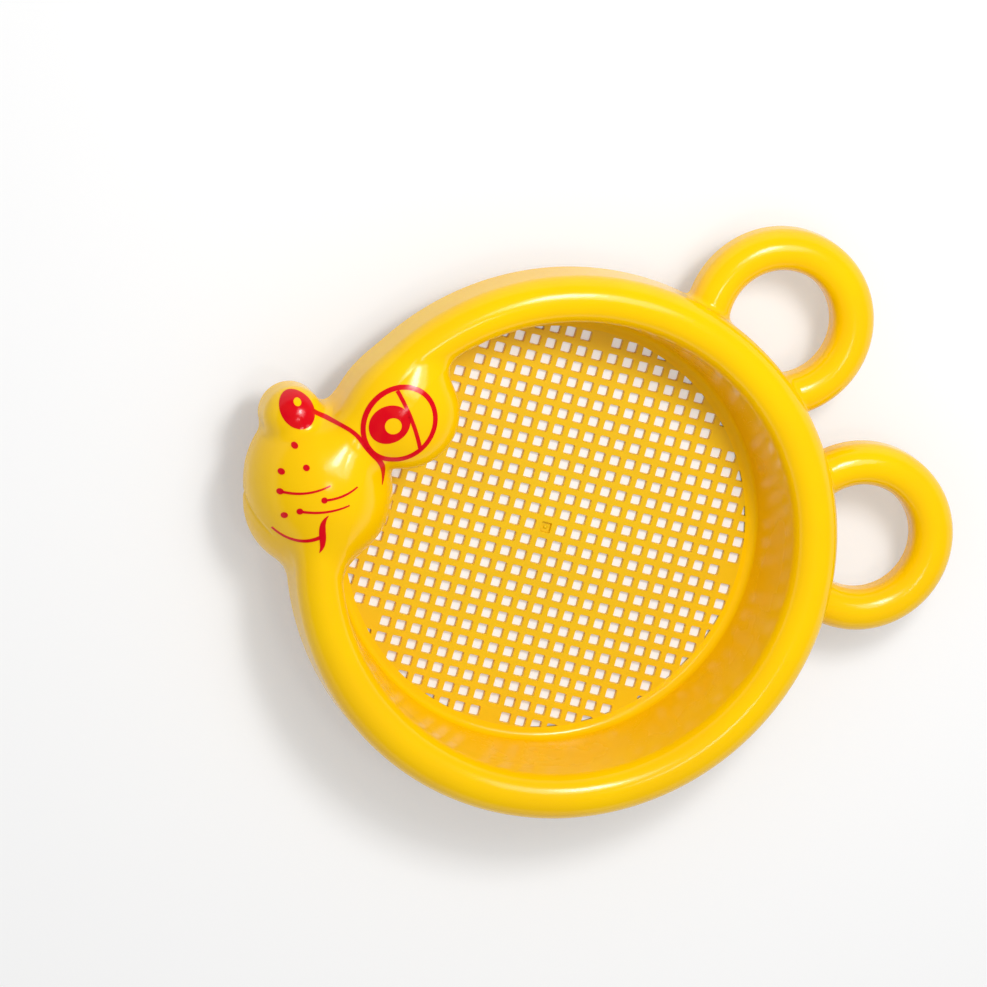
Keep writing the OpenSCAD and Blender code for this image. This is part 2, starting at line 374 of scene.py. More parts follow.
def stack(name: str, rings: Sequence[Array]) -> bpy.types.Object:
    """Make a closed solid from flat outlines that lie over each other.

    Args:
        name: the object's name.
        rings: outlines of as many points each, turning left, from the lowest up.

    Returns:
        The solid, with a flat face below and above.
    """
    size = len(rings[0])
    index = np.arange(len(rings) * size).reshape(-1, size)
    after = np.roll(index, -1, axis=1)
    sides = np.stack([index[:-1], after[:-1], after[1:], index[1:]], axis=-1).reshape(-1, 4)
    ends = [index[0, ::-1].tolist(), index[-1].tolist()]
    return mesh_object(name, np.concatenate(rings), ends + sides.tolist())


def place_piece(
        piece: bpy.types.Object, material: bpy.types.Material, nodes: Sequence[str]) -> None:
    """Dress a piece and tie it to the frame.

    Args:
        piece: the finished object.
        material: its finish.
        nodes: the CAD nodes it stands for.
    """
    piece.data.materials.clear()
    piece.data.materials.append(material)
    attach(piece, BODY)
    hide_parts(*nodes)
    LOG.info("%s: %d faces, stands for %s", piece.name, len(piece.data.polygons), ", ".join(nodes))


@dataclass
class MeshDraft:
    """Vertices, shading normals and faces of a plastic piece that is being built."""

    points: list[Array] = field(default_factory=list)
    normals: list[Array] = field(default_factory=list)
    faces: list[list[int]] = field(default_factory=list)
    count: int = 0

    def add(self, points: Array, normals: Array, *blocks: Array) -> None:
        """Add a patch whose faces are turned to the side of its normals.

        Args:
            points: vertices, one row each.
            normals: their shading normals.
            blocks: faces as rows of three or of four vertex numbers.
        """
        for block in blocks:
            corner = points[block]
            facing = np.cross(corner[:, 2] - corner[:, 0], corner[:, -1] - corner[:, 1])
            agree = (facing * normals[block].mean(axis=1)).sum()
            self.faces += ((block if agree > 0 else block[:, ::-1]) + self.count).tolist()
        self.points.append(points)
        self.normals.append(normals)
        self.count += len(points)

    def loft(self, loops: Array, normals: Array) -> None:
        """Sweep closed sections into a skin and close its two ends.

        Args:
            loops: sections by section number and point number; point i faces point -1 - i across the wall.
            normals: their shading normals.
        """
        sections, size = loops.shape[:2]
        index = np.arange(sections * size).reshape(sections, size)
        after = np.roll(index, -1, axis=1)
        quads = np.stack([index[:-1], index[1:], after[1:], after[:-1]], axis=-1).reshape(-1, 4)
        self.add(loops.reshape(-1, 3), normals.reshape(-1, 3), quads)
        first = np.arange(size // 2 - 1)
        cap = np.stack([first, first + 1, size - 2 - first, size - 1 - first], axis=-1)
        for end, inward in ((0, 1), (-1, -2)):
            away = unit((loops[end] - loops[inward]).mean(axis=0))
            self.add(loops[end].copy(), np.broadcast_to(away, loops[end].shape), cap)

    def finish(self, name: str, plastic: bpy.types.Material, nodes: Sequence[str]) -> bpy.types.Object:
        """Make the piece, dress it and tie it to the frame.

        Args:
            name: the piece's name.
            plastic: its finish.
            nodes: the CAD nodes it stands for.

        Returns:
            A smooth-shaded object at the origin.
        """
        made = mesh_object(name, np.concatenate(self.points), self.faces)
        made.data.validate()
        made.data.shade_smooth()
        made.data.normals_split_custom_set_from_vertices(unit(np.concatenate(self.normals)).tolist())
        place_piece(made, plastic, nodes)
        return made


def rounded_lip(
        first: Array, above_first: Array, second: Array, above_second: Array, edge_r: float,
) -> tuple[Array, Array]:
    """Round the free edge of a wall.

    Args:
        first: end points of the wall's first skin.
        above_first: points of that skin next to the end.
        second: end points of the wall's second skin.
        above_second: points of that skin next to the end.
        edge_r: radius of the rounded corners.

    Returns:
        Points and normals from the first skin round to the second, with the end points replaced.
    """
    across = unit(second - first)
    bends = np.linspace(0, math.pi / 2, LIP_POINTS)
    points, normals = [], []
    corners_of_edge = ((first, above_first, across, bends), (second, above_second, -across, bends[::-1]))
    for at, above, over, order in corners_of_edge:
        up = unit(above - at)
        middle = at + (up + over) * edge_r
        for bend in order:
            out = -over * math.cos(bend) - up * math.sin(bend)
            points.append(middle + out * edge_r)
            normals.append(out)
    return np.stack(points, axis=1), np.stack(normals, axis=1)


@dataclass(frozen=True)
class Dome:
    """Half ball on a straight upright flank, in millimetres, pressed flatter where flat is above 1."""

    x: float
    y: float
    z: float
    r: float
    flat: float = 1.0

    def depth(self, at: Array) -> Array:
        """Distance outside the dome, below zero inside."""
        aside = np.hypot(at[..., 0] - self.x * MM, at[..., 1] - self.y * MM)
        above = np.maximum(at[..., 2] - self.z * MM, 0)
        far = np.hypot(aside, above * self.flat)
        steep = np.hypot(aside, above * self.flat ** 2)
        return (far - self.r * MM) * far / np.maximum(steep, TINY)


def soft_join(first: Array, second: Array, reach: Union[float, Array]) -> Array:
    """Join two depths with a valley rounded over the given reach in millimetres."""
    share = np.maximum(1 - np.abs(first - second) / (reach * MM), 0)
    return np.minimum(first, second) - share * share * reach * MM / 4


@dataclass
class Bowl:
    """Sizes of the bowl, taken from the frame and from a few widths."""

    rim_w: float = 17 * MM
    wall_t: float = 2 * MM
    corner_r: float = 3 * MM
    floor_margin: float = 4 * MM
    flank_h: float = 6 * MM
    edge_r: float = 0.35 * MM
    draft: float = math.radians(7.5)
    arc_end: float = 0.9999

    def __post_init__(self) -> None:
        """Work out the levels and radii from the frame's boxes."""
        low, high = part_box("rim")
        self.skirt_z = low.z
        self.rim_r = high.x
        self.bead_r = self.rim_w / 2
        self.bead_z = high.z - self.bead_r
        self.mid_r = self.rim_r - self.bead_r
        self.mesh_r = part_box("sieve_mesh")[1].x
        self.corner_z = self.wall_t + self.corner_r
        floor_r = self.mesh_r + self.floor_margin
        self.corner_mid = floor_r + self.corner_r * (math.tan(self.draft) - 1 / math.cos(self.draft))
        self.wall_in = np.array([-math.cos(self.draft), math.sin(self.draft)])
        self.wall_end = np.array([self.corner_mid, self.corner_z]) - self.wall_in * self.corner_r

    def arc_z(self, r: Array, arc_r: float) -> Array:
        """Height of the level floor, and of the corner's arc up to just short of its upright end."""
        aside = np.clip(r - self.corner_mid, 0, arc_r * self.arc_end)
        return self.corner_z - np.sqrt(arc_r ** 2 - aside ** 2)

    def floor_top(self, r: Array) -> Array:
        """Height of the floor and its fillet at a radius."""
        return self.arc_z(r, self.corner_r)

    def floor_under(self, r: Array) -> Array:
        """Height of the underside at a radius."""
        return self.arc_z(r, self.corner_r + self.wall_t)

    def section_depth(self, r: Array, z: Array) -> Array:
        """Depth of the plain section of rim and wall."""
        u, v = r - self.mid_r, z - self.bead_z
        arch = np.hypot(u, v) - self.bead_r
        inner = u * self.wall_in[0] + v * self.wall_in[1] - self.bead_r
        above = v > np.where(u < 0, -u * math.tan(self.draft), 0)
        return np.where(above, arch, np.maximum(inner, u - self.bead_r))


@dataclass
class Form:
    """The moulding's outer form, in millimetres: the plain ring with five domes melted into it.

    Each join is the reach over which a valley is rounded. The crease is the groove between muzzle and chin.
    """

    bowl: Bowl
    muzzle: Dome = Dome(-91.0, -4.4, 22.3, 26.2)
    bridge: Dome = Dome(-97.0, 5.3, 24.1, 22.4)
    nose: Dome = Dome(-110.4, 21.1, 29.0, 11.0)
    eye: Dome = Dome(-72.8, 33.0, 37.2, 20.0, 1.7)
    chin: Dome = Dome(-91.6, -7.0, 18.3, 26.5)
    bridge_join: float = 10.0
    eye_join: float = 6.0
    chin_join: float = 0.8
    rim_join: float = 5.0
    bowl_join: float = 10.0
    nose_join: float = 3.0
    crease_w: float = 0.3
    crease_d: float = 0.32
    crease_x: tuple[float, float] = (-105.0, -109.0)
    slope_step: float = 0.02

    def body(self, at: Array) -> Array:
        """Distance outside the form without its nose, below zero inside."""
        face = soft_join(self.muzzle.depth(at), self.bridge.depth(at), self.bridge_join)
        face = soft_join(face, self.eye.depth(at), self.eye_join)
        chin = self.chin.depth(at)
        face = soft_join(face, chin, self.chin_join) + self.crease(at, face - chin)
        r = np.hypot(at[..., 0], at[..., 1])
        inward = np.clip((self.bowl.mid_r - r) / self.bowl.bead_r, 0, 1)
        join = self.rim_join + (self.bowl_join - self.rim_join) * inward
        return soft_join(face, self.bowl.section_depth(r, at[..., 2]), join)

    def crease(self, at: Array, apart: Array) -> Array:
        """Depth of the groove, from how far the muzzle and the chin lie apart."""
        first, last = self.crease_x
        shown = np.clip((at[..., 0] / MM - first) / (last - first), 0, 1)
        aside = np.clip(np.abs(apart) / (self.crease_w * MM), 0, 1)
        return self.crease_d * MM * shown * (1 - aside ** 2) ** 2

    def depth(self, at: Array) -> Array:
        """Distance outside the whole form, below zero inside."""
        return soft_join(self.body(at), self.nose.depth(at), self.nose_join)

    def normal(self, depth: Callable[[Array], Array], at: Array) -> Array:
        """Direction in which a depth grows fastest at points."""
        steps = np.eye(3) * self.slope_step * MM
        return unit(np.stack([depth(at + step) - depth(at - step) for step in steps], axis=-1))


@dataclass
class Shell:
    """Grids of points on the moulding's outer and inner skins, by direction round the bowl and by row.

    The rows climb the skirt, pass over the arch and go down the wall to its foot. Each lies on a ray from the
    spine, which runs round inside the rim.
    """

    form: Form
    plain_step: float = 1.5
    face_step: float = 0.36
    face_from: float = 134.0
    face_to: float = 211.0
    skirt_rows: int = 24
    arch_rows: int = 48
    flank_rows: int = 9
    wall_rows: int = 33
    foot_rows: int = 6
    foot_z: float = 0.45 * MM
    spine_z: float = 28 * MM
    inmost_r: float = 45 * MM
    longest_ray: float = 62 * MM

    def __post_init__(self) -> None:
        """Lay out the columns and the rows."""
        bowl = self.form.bowl
        self.spine = np.array([bowl.mid_r, self.spine_z])
        self.face_turns = self.turns(self.face_from, self.face_to, self.face_step)
        self.plain_turns = self.turns(self.face_to, 360 + self.face_from, self.plain_step)
        bends = np.linspace(0, math.pi - bowl.draft, self.arch_rows)
        skirt = np.linspace(bowl.skirt_z, bowl.bead_z, self.skirt_rows + 1)[:-1]
        arch_in = np.array([bowl.mid_r, bowl.bead_z]) + bowl.wall_in * bowl.bead_r
        along = np.array([bowl.wall_in[1], -bowl.wall_in[0]])
        levels = [arch_in[1], bowl.bead_z - bowl.flank_h, bowl.wall_end[1], self.foot_z]
        stretches = zip(levels, levels[1:], (self.flank_rows, self.wall_rows, self.foot_rows))
        wall_z = np.concatenate([np.linspace(high, low, rows + 1)[1:] for high, low, rows in stretches])
        self.rim_rows = self.skirt_rows + self.arch_rows + self.flank_rows
        self.plain_rows = self.rim_rows + self.wall_rows
        reach = (wall_z - arch_in[1]) / along[1]
        self.row_bends = []
        for inset in (0.0, bowl.wall_t):
            outer = np.stack([np.full_like(skirt, bowl.rim_r - inset), skirt], axis=-1)
            arch = polar(bowl.bead_r - inset, bends) + [bowl.mid_r, bowl.bead_z]
            wall = arch_in - bowl.wall_in * inset + reach[:, None] * along
            rows = np.concatenate([outer, arch, wall]) - self.spine
            self.row_bends.append(np.unwrap(np.arctan2(rows[:, 1], rows[:, 0])))

    @staticmethod
    def turns(first: float, last: float, step: float) -> Array:
        """Directions in radians between two in degrees, about a step apart."""
        return np.radians(np.linspace(first, last, round((last - first) / step) + 1))

    def flank_r(self, turns: Array, inset: float, height: Callable[[Array], Array], reach: float) -> Array:
        """Radius at which the face's inner flank crosses a floor profile.

        Args:
            turns: directions round the bowl.
            inset: depth below the outer skin.
            height: height of the profile at a radius.
            reach: largest radius.

        Returns:
            One radius for each turn.
        """
        low, high = np.full_like(turns, self.inmost_r), np.full_like(turns, reach)
        return bisect(lambda r: -(self.form.body(around(turns, r, height(r))) + inset), low, high)

    def skin(self, turns: Array, rows: int, inset: float) -> Array:
        """Points of one skin.

        Args:
            turns: directions round the bowl.
            rows: how many rows from the skirt's edge inwards.
            inset: depth below the outer skin.

        Returns:
            Points by turn and row.
        """
        bowl = self.form.bowl
        bends = self.row_bends[0 if inset == 0 else 1]
        shares = (bends - bends[0]) / (bends[-1] - bends[0])
        low = np.full_like(turns, bowl.mid_r)
        out_r = bisect(lambda r: self.form.body(around(turns, r, bowl.skirt_z)) + inset, low,
                       low + self.longest_ray)
        end_r = self.flank_r(turns, inset, bowl.floor_under, bowl.wall_end[0] + inset / 2)
        start = np.arctan2(bowl.skirt_z - self.spine[1], out_r - self.spine[0])
        end = np.arctan2(bowl.floor_under(end_r) - self.spine[1], end_r - self.spine[0]) % FULL_TURN
        toward = polar(1.0, start[:, None] + (end - start)[:, None] * shares[:rows])

        def on_ray(length: Array) -> Array:
            """Points at a distance from the spine."""
            r, z = (self.spine[axis] + length * toward[..., axis] for axis in (0, 1))
            return around(turns[:, None], r, z)

        none = np.zeros(toward.shape[:-1])
        return on_ray(bisect(
            lambda length: self.form.body(on_ray(length)) + inset, none, none + self.longest_ray))

    def wall(self, turns: Array, first: int, last: int, lips: tuple[bool, bool]) -> tuple[Array, Array]:
        """Closed sections of a stretch of the shell.

        Args:
            turns: directions round the bowl.
            first: first row.
            last: last row.
            lips: whether the edge is rounded at the first and at the last row.

        Returns:
            Points and normals by turn and by place round the section.
        """
        body, bowl = self.form.body, self.form.bowl
        outer = self.skin(turns, last + 1, 0.0)[:, first:]
        inner = self.skin(turns, last + 1, bowl.wall_t)[:, first:]
        loops = [outer[:, ::-1], inner]
        normals = [self.form.normal(body, loops[0]), -self.form.normal(body, inner)]
        if lips[1]:
            lip, lean = rounded_lip(outer[:, -1], outer[:, -3], inner[:, -1], inner[:, -3], bowl.edge_r)
            half = lip.shape[1] // 2
            # The lip takes the place of the last two rows.
            outer, inner = outer[:, :-2], inner[:, :-2]
            loops = [lip[:, half - 1::-1], outer[:, ::-1], inner, lip[:, :half - 1:-1]]
            normals = [lean[:, half - 1::-1], normals[0][:, 2:], normals[1][:, :-2], lean[:, :half - 1:-1]]
        whole, leans = np.concatenate(loops, axis=1), np.concatenate(normals, axis=1)
        if lips[0]:
            lip, lean = rounded_lip(outer[:, 0], outer[:, 1], inner[:, 0], inner[:, 1], bowl.edge_r)
            middle = whole.shape[1] // 2
            # The first row of each skin lies at the section's middle, and the lip takes its place.
            whole = np.concatenate([whole[:, :middle - 1], lip, whole[:, middle + 1:]], axis=1)
            leans = np.concatenate([leans[:, :middle - 1], lean, leans[:, middle + 1:]], axis=1)
        return whole, leans


@dataclass
class RimAndWall:
    """The half-round rim with its skirt, and the leaning wall of the bowl."""

    shell: Shell

    def build(self, plastic: bpy.types.Material, drawn: bpy.types.Material) -> None:
        """Build both pieces, the wall in the drawn finish."""
        turns, last = self.shell.plain_turns, self.shell.rim_rows - 1
        rim = MeshDraft()
        rim.loft(*self.shell.wall(turns, 0, last, (True, False)))
        rim.finish("rim_shell", plastic, ["rim"])
        wall = MeshDraft()
        wall.loft(*self.shell.wall(turns, last, self.shell.plain_rows - 1, (False, False)))
        wall.finish("bowl_wall", drawn, ["side_wall"])


@dataclass
class Face:
    """The stretch of the shell that swells into muzzle and eye."""

    shell: Shell

    def build(self, plastic: bpy.types.Material) -> bpy.types.Object:
        """Build the face and return it, for the print to lie on."""
        draft = MeshDraft()
        last = len(self.shell.row_bends[0]) - 1
        draft.loft(*self.shell.wall(self.shell.face_turns, 0, last, (True, True)))
        return draft.finish("face_shell", plastic, ["muzzle", "eye_bulge"])


@dataclass
class Nose:
    """The hollow ball-ended knob in front of the muzzle, with the fillet round its root."""

    form: Form
    columns: int = 300
    rows: int = 46
    tries: int = 220
    reach: float = 17 * MM
    sink: float = 0.1 * MM

    def skin(self, turns: Array, bends: Array) -> Array:
        """Points of the outer skin, seen from the middle of the knob.

        Args:
            turns: directions round the knob's upright axis.
            bends: angles from straight up, by turn and row.

        Returns:
            Points by turn and row.
        """
        middle = np.array([self.form.nose.x, self.form.nose.y, self.form.nose.z]) * MM
        toward = lift(polar(1.0, turns)[:, None] * np.sin(bends)[..., None], np.cos(bends))
        length = bisect(lambda far: self.form.depth(middle + far[..., None] * toward),
                        np.zeros_like(bends), np.full_like(bends, self.reach))
        return middle + length[..., None] * toward

    def ends(self, turns: Array) -> tuple[Array, Array]:
        """Where the skin of the knob ends, at the skirt's level or in the muzzle.

        Args:
            turns: directions round the knob's upright axis.

        Returns:
            Angles from straight up, and whether the muzzle is met there.
        """
        nose, skirt_z = self.form.nose, self.form.bowl.skirt_z
        axis = np.array([nose.x, nose.y]) * MM

        def at_foot(r: Array) -> Array:
            """Depth at the skirt's level, at radii from the knob's axis."""
            return self.form.depth(lift(axis + polar(r, turns), skirt_z))

        foot_r = bisect(at_foot, np.zeros_like(turns), np.full_like(turns, self.reach))
        lowest = np.arctan2(foot_r, skirt_z - nose.z * MM)
        shares = np.linspace(0, 1, self.tries)
        apart = nose.depth(self.skin(turns, lowest[:, None] * shares)) < self.form.nose_join * MM
        met = ~apart.all(axis=1)
        return np.where(met, shares[np.argmin(apart, axis=1)], 1.0) * lowest, met

    def build(self, plastic: bpy.types.Material) -> bpy.types.Object:
        """Build the nose.

        Args:
            plastic: its finish.

        Returns:
            The finished nose, for the print to lie on.
        """
        bowl = self.form.bowl
        turns = np.linspace(0, FULL_TURN, self.columns, endpoint=False)
        ends, met = self.ends(turns)
        outer = self.skin(turns, ends[:, None] * np.linspace(0, 1, self.rows))
        lean = self.form.normal(self.form.depth, outer)
        outer[met, -1] -= self.sink * lean[met, -1]
        inner = outer - bowl.wall_t * lean
        lip, lip_lean = rounded_lip(outer[:, -1], outer[:, -2], inner[:, -1], inner[:, -2], bowl.edge_r)
        loops = np.concatenate([outer[:, :-1], lip, inner[:, -2::-1]], axis=1)
        normals = np.concatenate([lean[:, :-1], lip_lean, -lean[:, -2::-1]], axis=1)
        index = np.arange(loops[:, 1:-1, 0].size).reshape(self.columns, -1)
        after = np.roll(index, -1, axis=0)
        quads = np.stack([index[:, :-1], after[:, :-1], after[:, 1:], index[:, 1:]], axis=-1).reshape(-1, 4)
        tips = [
            np.stack([index[:, end], after[:, end], np.full(self.columns, index.size + pole)], axis=-1)
            for pole, end in enumerate((0, -1))
        ]
        points, leans = (
            np.concatenate([each[:, 1:-1].reshape(-1, 3), each[0, [0, -1]]]) for each in (loops, normals))
        draft = MeshDraft()
        draft.add(points, leans, quads, *tips)
        return draft.finish("nose_knob", plastic, ["nose"])


@dataclass
class FloorRing:
    """Plain margin of the floor and the rounded corner that leads up to the wall and to the face."""

    shell: Shell
    corner_points: int = 14
    sink: float = 0.3 * MM

    def profile(self, turns: Array, plain: bool) -> tuple[Array, Array]:
        """Closed sections of the margin, which end at the wall's foot or just inside the face's flank.

        Args:
            turns: directions round the bowl.
            plain: whether the wall stands on the margin there, and not the face.

        Returns:
            Points and normals by turn and place round the section.
        """
        shell, bowl = self.shell, self.shell.form.bowl
        bends = np.linspace(-math.pi / 2, -bowl.draft, self.corner_points)
        points, normals = [], []
        for inset, height, facing in ((0.0, bowl.floor_top, 1), (bowl.wall_t, bowl.floor_under, -1)):
            r = bowl.corner_r + inset
            arc = polar(r, bends) + [bowl.corner_mid, bowl.corner_z]
            row = np.concatenate([[[bowl.mesh_r, arc[0, 1]]], arc])
            lean = np.concatenate([[[0, -1]], polar(1.0, bends)])
            rows = np.broadcast_to(row, (len(turns), *row.shape)).copy()
            if plain:
                foot = shell.skin(turns, shell.plain_rows, inset)[:, -1]
                rows[:, -1] = np.stack([np.hypot(foot[:, 0], foot[:, 1]), foot[:, 2]], axis=-1)
            else:
                tuck = self.sink if inset == 0 else 0.0
                reach = shell.flank_r(turns, inset, height, row[-1, 0]) + tuck
                share = (reach - bowl.mesh_r) / (row[-1, 0] - bowl.mesh_r)
                rows[..., 0] = bowl.mesh_r + (row[:, 0] - bowl.mesh_r) * share[:, None]
                rows[..., 1] = height(rows[..., 0])
                aside = np.clip((rows[..., 0] - bowl.corner_mid) / r, 0, 1)
                lean = np.stack([aside, -np.sqrt(1 - aside ** 2)], axis=-1)
            lean = np.broadcast_to(lean * -facing, rows.shape)
            points.append(around(turns[:, None], rows[..., 0], rows[..., 1])[:, ::facing])
            normals.append(around(turns[:, None], lean[..., 0], lean[..., 1])[:, ::facing])
        return np.concatenate(points, axis=1), np.concatenate(normals, axis=1)

    def build(self, plastic: bpy.types.Material) -> None:
        """Build the margin, with a gap where the face reaches over it to the mesh."""
        shell, bowl = self.shell, self.shell.form.bowl
        draft = MeshDraft()
        draft.loft(*self.profile(shell.plain_turns, True))
        reach = shell.flank_r(shell.face_turns, 0.0, bowl.floor_top, bowl.wall_end[0])
        bare = np.flatnonzero(reach < bowl.mesh_r + self.sink)
        for stretch in (shell.face_turns[:bare[0]], shell.face_turns[bare[-1] + 1:]):
            draft.loft(*self.profile(stretch, False))
        draft.finish("floor_margin", plastic, ["floor_ring"])


@dataclass
class Ear:
    """A hollow half-round ring handle that grows out of the rim's skirt with a fillet."""

    place: EarPlace
    bowl: Bowl
    reach: float = 112.4 * MM
    ring_r: float = 27.15 * MM
    width: float = 15.3 * MM
    flank_h: float = 5.4 * MM
    fillet: float = 2.4 * MM
    bite: float = 0.02 * MM
    columns: int = 72
    fillet_columns: int = 7
    arch_points: int = 27
    flank_points: int = 5

    def section(self) -> tuple[Array, Array, Array]:
        """Closed section of the ring.

        Returns:
            Points, normals, and the directions in which the root's fillet widens the section.
        """
        bowl = self.bowl
        arch_z = bowl.skirt_z + self.flank_h
        bends = np.linspace(0, math.pi, self.arch_points)
        low = np.linspace(bowl.skirt_z, arch_z, self.flank_points + 1)[:-1, None]
        flank = np.tile([1.0, 0.0], (self.flank_points, 1))
        lean = np.concatenate([flank, polar(1.0, bends), -flank])
        outer, inner = (
            np.concatenate([
                np.hstack([np.full_like(low, r), low]),
                polar(r, bends) + [0, arch_z],
                np.hstack([np.full_like(low, -r), low[::-1]]),
            ]) for r in (self.width / 2, self.width / 2 - bowl.wall_t))
        lips = []
        for first, second, end, above in ((outer, inner, -1, -2), (inner, outer, 0, 1)):
            lip, lip_lean = rounded_lip(
                first[[end]], first[[above]], second[[end]], second[[above]], bowl.edge_r)
            lips.append((lip[0], lip_lean[0]))
        (last, last_lean), (near, near_lean) = lips
        half = len(near) // 2
        points = np.concatenate([near[half:], outer[1:-1], last, inner[-2:0:-1], near[:half]])
        normals = np.concatenate([near_lean[half:], lean[1:-1], last_lean, -lean[-2:0:-1], near_lean[:half]])
        sides = np.tile([1.0, 0.0], (half, 1))
        widen = np.concatenate([sides, lean[1:-1], -sides])
        return points, normals, np.pad(widen, ((0, len(points) - len(widen)), (0, 0)))

    def swing(self, r: Array, gap: float) -> Array:
        """Angle from the ring's own direction at which a radius comes within a gap of the rim."""
        to_rim = (self.bowl.rim_r + gap) ** 2 - self.reach ** 2 - r ** 2
        return np.arccos(np.clip(to_rim / (2 * self.reach * r), -1, 1))

    def build(self, plastic: bpy.types.Material) -> None:
        """Build the ear from one root round to the other."""
        points, lean, widen = self.section()
        fillet = np.linspace(0, 1, self.fillet_columns + 1)
        roots = []
        for share in fillet:
            r, z = (points + self.fillet * share ** 2 * widen).T
            gap = self.fillet * (1 - share) ** 2 - self.bite
            roots.append((self.swing(self.ring_r + r, gap), self.ring_r + r, z))
        middle = np.linspace(-1, 1, self.columns)[1:-1]
        plain = [(share * roots[0][0], *roots[0][1:]) for share in middle]
        columns = [(-swing, r, z) for swing, r, z in roots[::-1]] + plain + roots
        swings, r, z = (np.stack(each) for each in zip(*columns))
        turn = math.radians(self.place.value)
        turns = turn + swings
        loops = lift(polar(self.reach, turn) + polar(r, turns), z)
        normals = lift(polar(1.0, turns) * lean[:, :1], lean[:, 1])
        outward = unit(lift(loops[..., :2], 0.0))
        bend = np.concatenate([fillet[::-1], np.zeros(len(middle)), fillet]) * math.pi / 2
        tilt = bend[:, None, None] * widen.any(axis=-1)[:, None]
        draft = MeshDraft()
        draft.loft(loops, unit(normals * np.cos(tilt) + outward * np.sin(tilt)))
        side = self.place.name.lower()
        draft.finish(side + "_ear", plastic, ["ear_" + side])


class GeometryTree(Graph):
    """A Geometry Nodes tree with named inputs."""

    def __init__(self, name: str) -> None:
        """Start a tree that takes and gives geometry."""
        tree = bpy.data.node_groups.new(name, "GeometryNodeTree")
        super().__init__(tree)
        for way in ("INPUT", "OUTPUT"):
            tree.interface.new_socket("Geometry", in_out=way, socket_type="NodeSocketGeometry")
        self.source = tree.nodes.new("NodeGroupInput")
        self.values: dict[str, Any] = {}

    def given(self) -> Link:
        """The geometry that the tree works on."""
        return Link(self, self.source.outputs[0])

    def size(self, name: str, value: Any, kind: str = "NodeSocketFloat") -> Link:
        """Add a named input.

        Args:
            name: the input's name.
            value: the value that the modifier sets.
            kind: its socket type.

        Returns:
            The input, for use in the tree.
        """
        made = self.tree.interface.new_socket(name, in_out="INPUT", socket_type=kind)
        self.values[made.identifier] = value
        return Link(self, self.source.outputs[made.identifier])

    def shape(self, name: str, value: bpy.types.Object) -> Link:
        """Add an object as a named input and return its geometry."""
        source = self.size(name, value, "NodeSocketObject")
        return self.node("GeometryNodeObjectInfo", None, {"Object": source}, out="Geometry")

    def join(self, *parts: Link) -> Link:
        """Join geometries."""
        return self.node("GeometryNodeJoinGeometry", None, (list(parts),))

    def move(self, part: Link, **how: Any) -> Link:
        """Transform a geometry by its Translation, Rotation or Scale."""
        return self.node("GeometryNodeTransform", None, {"Geometry": part, **how})

    def apply(self, piece: bpy.types.Object, result: Link, material: bpy.types.Material) -> None:
        """End the tree and turn a piece's mesh into its result.

        Args:
            piece: the object that the tree works on.
            result: the geometry at the tree's end.
            material: the finish that the tree sets.
        """
        finish = self.size("Finish", material, "NodeSocketMaterial")
        realized = self.node("GeometryNodeRealizeInstances", None, {"Geometry": result})
        dressed = self.node("GeometryNodeSetMaterial", None, {"Geometry": realized, "Material": finish})
        self.node("NodeGroupOutput", None, (dressed,))
        modifier = piece.modifiers.new(self.tree.name, "NODES")
        modifier.node_group = self.tree
        for identifier, value in self.values.items():
            modifier[identifier] = value
        shaped = bpy.data.meshes.new_from_object(piece.evaluated_get(bpy.context.evaluated_depsgraph_get()))
        piece.modifiers.clear()
        before, piece.data = piece.data, shaped
        bpy.data.meshes.remove(before)
        shaped.name = piece.name


